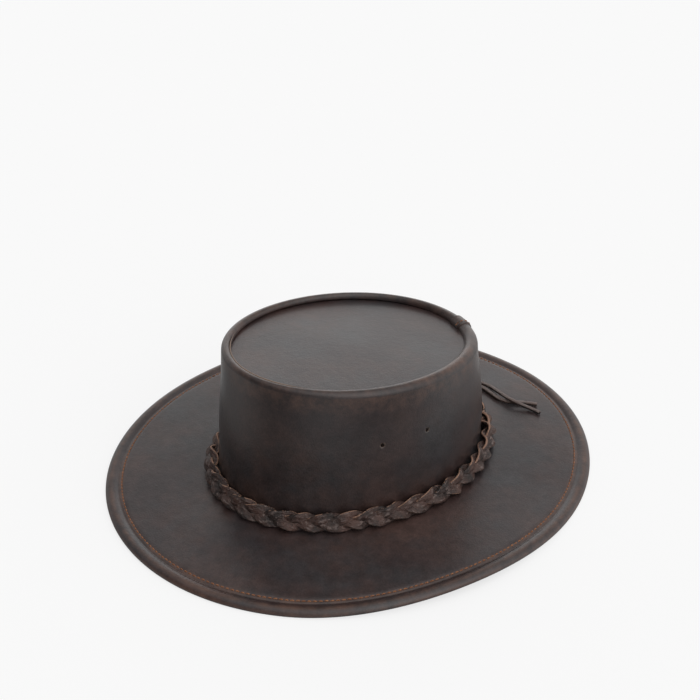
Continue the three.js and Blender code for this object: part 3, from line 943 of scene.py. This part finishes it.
def thread_stitches(starts, ends, ups, seed):
    """Short stitches that dip into the leather at both ends."""
    draw = np.random.default_rng(seed)
    points, faces, twist = [], [], []
    share = np.linspace(0, 1, THREAD_STEPS)
    turn = np.arange(THREAD_SIDES) * FULL_TURN / THREAD_SIDES
    for start, end, up in zip(starts, ends, ups):
        start = start + draw.normal(0, STITCH_SCATTER, 3)
        end = end + draw.normal(0, STITCH_SCATTER, 3)
        along = (end - start) / np.linalg.norm(end - start)
        side = np.cross(up, along)
        side /= np.linalg.norm(side)
        arch = np.sin(math.pi * share) ** 0.6
        line = (start + (end - start) * share[:, None]
                + (THREAD_RADIUS * (THREAD_ARCH * arch - 1.0))[:, None] * up)
        size = THREAD_RADIUS * (THREAD_END_SHARE + (1 - THREAD_END_SHARE) * arch)
        ring = (np.cos(turn)[None, :, None] * side + np.sin(turn)[None, :, None] * up)
        body = line[:, None] + size[:, None, None] * ring
        faces += tube_faces(THREAD_STEPS, THREAD_SIDES, len(points) * THREAD_STEPS * THREAD_SIDES)
        points.append(body.reshape(-1, 3))
        twist.append((share[:, None] + turn[None, :] / FULL_TURN).ravel())
    return np.concatenate(points), faces, np.concatenate(twist)


def make_brim_stitches(material):
    fine = np.linspace(0, FULL_TURN, 6001)
    line = brim_point(fine, STITCH_INWARD, 0)
    length = np.concatenate([[0], np.cumsum(np.linalg.norm(np.diff(line, axis=0), axis=-1))])
    pitch = length[-1] / STITCH_COUNT

    def on_line(distance):
        angle = np.interp(distance % length[-1], length, fine)
        edge = oval(BRIM_LENGTH, BRIM_WIDTH, angle, BRIM_FULLNESS)
        span = np.linalg.norm(edge - crown_foot(angle), axis=-1)
        return brim_point(angle, STITCH_INWARD, brim_slope(angle, STITCH_INWARD, span) - STITCH_SINK)

    begin = np.arange(STITCH_COUNT) * pitch
    ups = np.tile([0, 0, 1.0], (STITCH_COUNT, 1))
    points, faces, twist = thread_stitches(on_line(begin), on_line(begin + STITCH_LENGTH), ups, 61)
    make_piece("brim_stitches", points, faces, material, {"twist": twist})


SEAM_STITCH_INSET = 2.2
SEAM_STITCH_GAP = 0.9
SEAM_STITCH_START = 0.3


def make_seam_stitches(material):
    """A row of stitches up the lap of the back seam and over the rim."""
    angle = math.radians(SEAM_ANGLE) - (SEAM_HALF_WIDTH - SEAM_STITCH_INSET) / (CROWN_TOP[1] / 2)
    shares = np.linspace(SEAM_STITCH_START, 1, 60)
    line = [crown_wall(np.array(angle), share, SEAM_RISE) for share in shares]
    line += [rim_roll(np.array(angle), turn, SEAM_RISE) for turn in range(6, 175, 6)]
    line = np.array(line)
    length = np.concatenate([[0], np.cumsum(np.linalg.norm(np.diff(line, axis=0), axis=-1))])
    outward = np.append(oval_normal(*CROWN_TOP, angle), 0)
    begin = np.arange(0, length[-1] - STITCH_LENGTH, STITCH_LENGTH + SEAM_STITCH_GAP)
    end = begin + STITCH_LENGTH

    def at(distance):
        return np.stack([np.interp(distance, length, line[:, axis]) for axis in range(3)], axis=-1)

    along = at(end) - at(begin)
    sideways = np.cross(outward, [0, 0, 1.0])
    ups = np.cross(along, sideways)
    ups /= np.linalg.norm(ups, axis=-1, keepdims=True)
    inside = np.sum(ups * outward, axis=-1) + ups[:, 2] < 0
    ups[inside] *= -1
    points, faces, twist = thread_stitches(at(begin), at(end), ups, 62)
    make_piece("seam_stitches", points, faces, material, {"twist": twist})


# Studio

FLOOR_SIZE = 40

# The studio's soft lights. Turns are degrees round from the backdrop behind the hat towards the
# right of the camera, and lifts are degrees above the floor. Light from below is the pale floor's.
SOFT_LIGHTS = [
    {"turn": 0, "lift": 90, "sharpness": 6, "strength": 0.96},
    {"turn": 0, "lift": 15, "sharpness": 8, "strength": 1.12},
    {"turn": 50, "lift": 15, "sharpness": 8, "strength": 0.62},
    {"turn": 90, "lift": 50, "sharpness": 8, "strength": 0.51},
    {"turn": 100, "lift": 15, "sharpness": 8, "strength": 0.56},
    {"turn": 140, "lift": 40, "sharpness": 8, "strength": 0.95},
    {"turn": 145, "lift": 15, "sharpness": 8, "strength": 0.90},
    {"turn": 180, "lift": 50, "sharpness": 8, "strength": 0.72},
    {"turn": -145, "lift": 15, "sharpness": 8, "strength": 0.06},
    {"turn": -90, "lift": 50, "sharpness": 8, "strength": 0.08},
    {"turn": -50, "lift": 15, "sharpness": 12, "strength": 0.60},
    {"turn": 0, "lift": -20, "sharpness": 6, "strength": 0.73},
    {"turn": 90, "lift": -20, "sharpness": 6, "strength": 0.70},
    {"turn": 180, "lift": -20, "sharpness": 6, "strength": 0.60},
    {"turn": -90, "lift": -20, "sharpness": 6, "strength": 0.48},
    {"turn": 0, "lift": -90, "sharpness": 4, "strength": 0.41},
]
FLOOR_WHITE = 0.25
FLOOR_GLOW = 0.746


def studio_direction(turn, lift):
    """A direction in the studio, from its turn away from the backdrop and its lift."""
    heading = math.radians(CAMERA_AZIMUTH - turn)
    rise = math.radians(lift)
    return (-math.sin(heading) * math.cos(rise), math.cos(heading) * math.cos(rise), math.sin(rise))


def light_studio():
    """Wide soft lights all round the hat, as one world of light by direction."""
    world = bpy.data.worlds.new("studio")
    light = Finish(world)
    view = light.node("ShaderNodeTexCoord", output="Generated")
    strength = 0
    for lamp in SOFT_LIGHTS:
        direction = studio_direction(lamp["turn"], lamp["lift"])
        facing = light.towards(view, direction).between(0, 1)
        strength = facing ** lamp["sharpness"] * lamp["strength"] + strength
    sockets = {"Color": (1, 1, 1), "Strength": strength}
    background = light.node("ShaderNodeBackground", None, sockets)
    light.node("ShaderNodeOutputWorld", None, {"Surface": background})
    bpy.context.scene.world = world
    bpy.context.scene.view_settings.view_transform = "Standard"


def make_floor(material):
    mesh = bpy.data.meshes.new("studio_floor")
    half = FLOOR_SIZE / 2
    corners = [(-half, -half, 0), (half, -half, 0), (half, half, 0), (-half, half, 0)]
    mesh.from_pydata(corners, [], [(0, 1, 2, 3)])
    mesh.materials.append(material)
    floor = bpy.data.objects.new("studio_floor", mesh)
    floor.visible_diffuse = False
    floor.visible_glossy = False
    bpy.context.collection.objects.link(floor)


place_camera()
# The tails' laces are blended most of the way to the painted sheen colour: painted highlight.
painted_sheen_lace_finish = lace_leather("painted_sheen_lace_leather", painted_sheen=0.7, pale_edges=0.15)
for tail_name, tail_route in TAIL_ROUTES.items():
    make_tail(tail_name, tail_route, painted_sheen_lace_finish)
lace_finish = lace_leather("cut_lace_leather")
thread_finish = sewing_thread()
make_brim(hat_leather("waxed_brim_leather", shade=0.94))
vents = [tuple(vent_middle(math.radians(vent)) * MM) for vent in VENT_ANGLES]
# The crown's copy is made far darker than the brim's and the top's: painted shade on the crown's wall and
# rim.
make_crown(hat_leather("waxed_crown_leather_painted_shade", shade=0.66, holes=vents))
make_crown_top(hat_leather("waxed_top_leather", shade=0.92))
make_plait(lace_finish)
make_knot(lace_finish)
make_brim_stitches(thread_finish)
make_seam_stitches(thread_finish)
make_floor(studio_floor())
light_studio()
